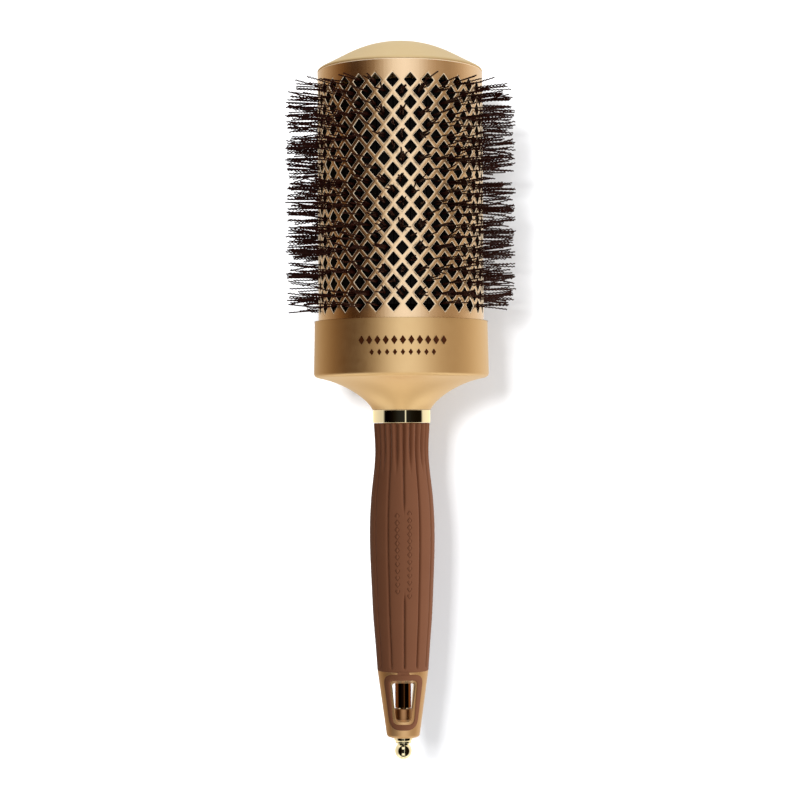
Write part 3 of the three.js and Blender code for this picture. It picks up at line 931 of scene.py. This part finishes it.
def cut_away(piece, cutter):
    """Cuts the cutter from the piece for good; the new faces take the cutter's material."""
    boolean = piece.modifiers.new("cut", "BOOLEAN")
    boolean.operation = "DIFFERENCE"
    boolean.solver = "EXACT"
    boolean.material_mode = "TRANSFER"
    boolean.object = cutter
    graph = bpy.context.evaluated_depsgraph_get()
    mesh = bpy.data.meshes.new_from_object(piece.evaluated_get(graph))
    piece.modifiers.clear()
    piece.data = mesh
    mesh.shade_smooth()
    mesh.set_sharp_from_angle(angle=math.radians(30))
    bpy.data.objects.remove(cutter)


def build_handle_tip(materials):
    """Gold cone with its window; the spigot inside the grip comes with it."""
    low, high = box_mm("handle_core")
    seat, tube_seat, spigot, pilot = 3.25, 2.9, 6.1, 2.2
    shoulder, tube_bottom, tube_top = 29.1, 16.9, 68.3
    pilot_bottom = box_mm("handle_screw")[0][2] - 1
    outline = rounded([
        (seat, low[2], 0.2), (CONE_BOTTOM_R, low[2], 1.1), (CONE_TOP_R, shoulder, 0.1),
        (spigot, shoulder, 0), (spigot, high[2], 0), (pilot, high[2], 0),
        (pilot, pilot_bottom, 0),
    ], 6)
    outline += [(0, pilot_bottom), (0, tube_top), (tube_seat, tube_top),
                (tube_seat, tube_bottom), (seat, tube_bottom)]
    split = len(outline) - 4
    outline = outline[split:] + outline[:split]
    tip = turned("handle_tip", outline, materials["tip"], segments=120)
    window = evenly(keystone(**WINDOW), 80)
    flare = evenly(keystone(**FRAME_INSIDE), 80)
    cut_away(tip, loft_cutter([(-10, flare), (-7.4, flare), (-5.2, window), (5.2, window),
                               (7.4, flare), (10, flare)], materials["window_rim"]))
    tip.visible_glossy = False
    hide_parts("handle_core")


# ---- Pick and what guides it ----


def build_ferrule(materials):
    """Polished collar with painted reflections, with a lip, a waist and a rim below the cone."""
    low, high = box_mm("pick_ferrule")
    bottom, top = low[2], high[2]
    bore, lip, waist, rim, shank, rim_top = 2.25, 2.6, 2.3, 3.0, 2.9, 7.1
    outline = rounded([
        (bore, bottom, 0.1), (lip, bottom, 0.15), (lip, bottom + 0.55, 0.2),
        (waist, bottom + 0.7, 0.1), (rim, bottom + 0.9, 0.2), (rim, rim_top, 0.2),
        (shank, rim_top + 0.05, 0), (shank, top, 0), (bore, top, 0),
    ], 4)
    ferrule = turned("ferrule", outline, materials["reflection_painted_gold"], SMALL)
    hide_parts("pick_ferrule")


def build_ball_tip(materials):
    """Ball with a short neck and the socket for the pick."""
    high = box_mm("pick_ball_tip")[1]
    radius, neck, socket = high[0], 1.95, 1.75
    end = math.pi / 2 - math.asin(neck / radius)
    outline = [(radius * math.cos(a), radius + radius * math.sin(a))
               for a in np.linspace(-math.pi / 2, end, 40)]
    outline[0] = (0, 0)
    outline += [(neck, high[2]), (socket, high[2]), (socket, 2 * radius), (0, 2 * radius)]
    ball = turned("ball_tip", outline, materials["reflection_painted_gold"], SMALL, PICK)
    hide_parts("pick_ball_tip")


def build_shaft(materials):
    """The pick, thinner above the shoulder that the stop collar sits on."""
    low, high = box_mm("pick_shaft")
    radius, thin = high[0], 0.9
    shoulder = box_mm("pick_stop_collar")[0][2] - GAP
    outline = rounded([(0, low[2], 0), (radius, low[2], 0.2), (radius, shoulder, 0.1),
                       (thin, shoulder, 0), (thin, high[2], 0.1), (0, high[2], 0)], 3)
    shaft = turned("shaft", outline, materials["reflection_painted_gold"], SMALL, PICK)
    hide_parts("pick_shaft")


def build_guides(materials):
    """The tube that the pick slides in and the bush below it."""
    for node, name, bore, material, slot in (
            ("pick_guide_tube", "guide_tube", 2.15, "bronze", "polished_gold"),
            ("guide_bush", "bush", 1.75, "bush", "tip_gold")):
        low, high = box_mm(node)
        outline = rounded([(bore, low[2], 0), (high[0], low[2], 0.12), (high[0], high[2], 0.25),
                           (bore, high[2], 0.1)], 4)
        piece = turned(name, outline, materials[material], SMALL)
        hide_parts(node)


def finish_hidden_nodes(materials):
    """CAD nodes that keep their shape get a finish of their own."""
    for node, material in (("inner_core", "black"), ("friction_o_ring", "black"),
                           ("handle_screw", "steel"), ("screw_washer", "steel"),
                           ("pick_stop_collar", "steel")):
        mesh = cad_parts[node].data
        mesh.materials.clear()
        mesh.materials.append(materials[material])


# ---- Studio ----

# Studio seen in the metal, by the angle round from the camera: (degrees, colour).
REFLECTIONS = (
    (-180, (0.95, 0.92, 0.85)), (-131, (0.54, 0.43, 0.30)), (-95, (0.19, 0.095, 0.03)),
    (-70, (0.032, 0.010, 0.001)), (-54, (0.065, 0.028, 0.006)), (-38, (0.22, 0.14, 0.07)),
    (-26, (0.50, 0.42, 0.32)), (-11, (0.94, 0.94, 0.93)), (5, (1.08, 1.11, 1.16)),
    (22, (0.93, 0.94, 0.95)), (41, (0.50, 0.40, 0.29)), (60, (0.33, 0.225, 0.12)),
    (75, (0.29, 0.19, 0.09)), (95, (0.50, 0.38, 0.25)), (115, (0.76, 0.67, 0.56)),
    (150, (0.92, 0.88, 0.82)),
)
# Studio above and below, by how far to the side a direction goes: (0 to 1, colour). Below,
# a lamp stands in the middle between the dark sides of the handle.
ABOVE = ((0.03, (1.0, 0.96, 0.88)), (0.5, (0.70, 0.65, 0.58)))
BELOW = ((0.0, (1.4, 1.37, 1.25)), (0.08, (1.15, 1.08, 0.95)), (0.17, (0.42, 0.34, 0.23)),
         (0.27, (0.55, 0.48, 0.38)), (0.42, (1.2, 1.2, 1.15)), (0.8, (0.95, 0.94, 0.9)))
STEEP = (0.42, 0.80)  # slopes between which ABOVE or BELOW takes over from REFLECTIONS
SKY_LEVEL, SKY_SLOPE = 0.80, 0.72  # light on matt surfaces, stronger from the right


def colour_ramp(nodes, links, value, entries):
    """Colours by a value from 0 to 1, from (value, colour) entries in rising order."""
    ramp = nodes.new("ShaderNodeValToRGB")
    links.new(value, ramp.inputs[0])
    stops = ramp.color_ramp.elements
    for i, (place, colour) in enumerate(entries):
        stop = stops[i] if i < 2 else stops.new(place)
        stop.position = place
        stop.color = (*colour, 1)
    return ramp.outputs[0]


def build_world():
    """White to the camera, a soft sky to matt surfaces and a studio to reflections."""
    world = bpy.data.worlds.new("studio")
    bpy.context.scene.world = world
    world.use_nodes = True
    nodes, links = world.node_tree.nodes, world.node_tree.links
    nodes.clear()
    place = nodes.new("ShaderNodeTexCoord")
    right, up, away = in_camera_space(nodes, links, place.outputs["Generated"])
    toward = math_node(nodes, links, "MULTIPLY", away, -1)
    around = math_node(nodes, links, "ARCTAN2", right, toward)
    fraction = math_node(nodes, links, "MULTIPLY_ADD", around, 1 / (2 * math.pi), 0.5)
    steepness = math_node(nodes, links, "ABSOLUTE", up)
    overhead = step_between(nodes, links, steepness, *STEEP)
    sideways = math_node(nodes, links, "ABSOLUTE", right)
    steep = mix_colours(nodes, links, math_node(nodes, links, "GREATER_THAN", up, 0),
                        colour_ramp(nodes, links, sideways, BELOW),
                        colour_ramp(nodes, links, sideways, ABOVE))
    turns = [((degrees + 180) / 360, colour) for degrees, colour in REFLECTIONS]
    studio = mix_colours(nodes, links, overhead, colour_ramp(nodes, links, fraction, turns),
                         steep)
    sky_level = math_node(nodes, links, "MULTIPLY_ADD", right, SKY_SLOPE, SKY_LEVEL)
    rays = nodes.new("ShaderNodeLightPath")
    shiny = mix_colours(nodes, links, rays.outputs["Is Glossy Ray"], sky_level, studio)
    seen = mix_colours(nodes, links, rays.outputs["Is Camera Ray"], shiny, (1, 1, 1, 1))
    background = nodes.new("ShaderNodeBackground")
    links.new(seen, background.inputs["Color"])
    output = nodes.new("ShaderNodeOutputWorld")
    links.new(background.outputs[0], output.inputs["Surface"])


def build_floor():
    """White table that the brush lies on, behind it. It fades out when it is seen at a slant
    and isn't seen from its other side."""
    material, nodes, links, shader = new_material("table_white")
    shader.inputs["Base Color"].default_value = (0.94, 0.95, 0.97, 1)
    shader.inputs["Roughness"].default_value = 1
    shader.inputs["Specular IOR Level"].default_value = 0
    geometry = nodes.new("ShaderNodeNewGeometry")
    facing = nodes.new("ShaderNodeVectorMath")
    facing.operation = "DOT_PRODUCT"
    links.new(geometry.outputs["Incoming"], facing.inputs[0])
    links.new(geometry.outputs["Normal"], facing.inputs[1])
    slant = math_node(nodes, links, "SUBTRACT", 1.0,
                      step_between(nodes, links, facing.outputs["Value"], 0.3, 0.6))
    unseen = math_node(nodes, links, "MAXIMUM", slant, geometry.outputs["Backfacing"])
    clear = nodes.new("ShaderNodeBsdfTransparent")
    choose = nodes.new("ShaderNodeMixShader")
    links.new(unseen, choose.inputs[0])
    links.new(shader.outputs[0], choose.inputs[1])
    links.new(clear.outputs[0], choose.inputs[2])
    links.new(choose.outputs[0], nodes["Material Output"].inputs["Surface"])
    mesh = bpy.data.meshes.new("table")
    half, clearance = 2.0, 0.0005
    y = CAD_BOX[1][1] + clearance
    mesh.from_pydata([(-half, y, -half), (half, y, -half), (half, y, half), (-half, y, half)],
                     [], [(0, 1, 2, 3)])
    mesh.materials.append(material)
    table = bpy.data.objects.new("table", mesh)
    bpy.context.scene.collection.objects.link(table)
    table.visible_glossy = False
    table.visible_diffuse = False
    return table


def build_camera():
    """Camera in front of the brush, a little to the left and tipped up a little."""
    distance, below, left = 0.65, math.radians(0.8), math.radians(1)
    target = Vector((-0.0005, 0, 0.1172))
    camera = bpy.data.cameras.new("camera")
    camera.lens = 89.4
    camera.sensor_width = 36
    view = bpy.data.objects.new("camera", camera)
    bpy.context.scene.collection.objects.link(view)
    view.rotation_euler = (math.pi / 2 + below, 0, -left)
    view.location = target + view.rotation_euler.to_matrix() @ Vector((0, 0, distance))
    view.rotation_euler.rotate_axis("Z", math.radians(-0.3))
    bpy.context.scene.camera = view


def build_key_light(table):
    """Soft light from the upper left that only the table receives: it casts the shadow."""
    light = bpy.data.lights.new("key", "AREA")
    light.size = 0.26
    light.energy = 14
    lamp = bpy.data.objects.new("key", light)
    bpy.context.scene.collection.objects.link(lamp)
    target = Vector((0, 0, 0.13))
    lamp.location = target + Vector((-0.31, -1.1, 0.19))
    lamp.rotation_euler = (target - lamp.location).to_track_quat("-Z", "Y").to_euler()
    table_only = bpy.data.collections.new("table_only")
    table_only.objects.link(table)
    lamp.light_linking.receiver_collection = table_only


def main():
    bpy.context.scene.view_settings.view_transform = "Standard"
    materials = make_materials()
    build_barrel(materials)
    build_bristles(materials)
    build_end_cap(materials)
    build_base_cup(materials)
    build_neck_ring(materials)
    build_grip(materials)
    build_handle_tip(materials)
    for face, side in (("front", -1), ("back", 1)):
        build_window_frame(materials, f"window_frame_{face}", side)
        build_tongue(materials, f"window_tongue_{face}", side)
    build_ferrule(materials)
    build_ball_tip(materials)
    build_shaft(materials)
    build_guides(materials)
    finish_hidden_nodes(materials)
    build_world()
    build_key_light(build_floor())
    build_camera()


main()
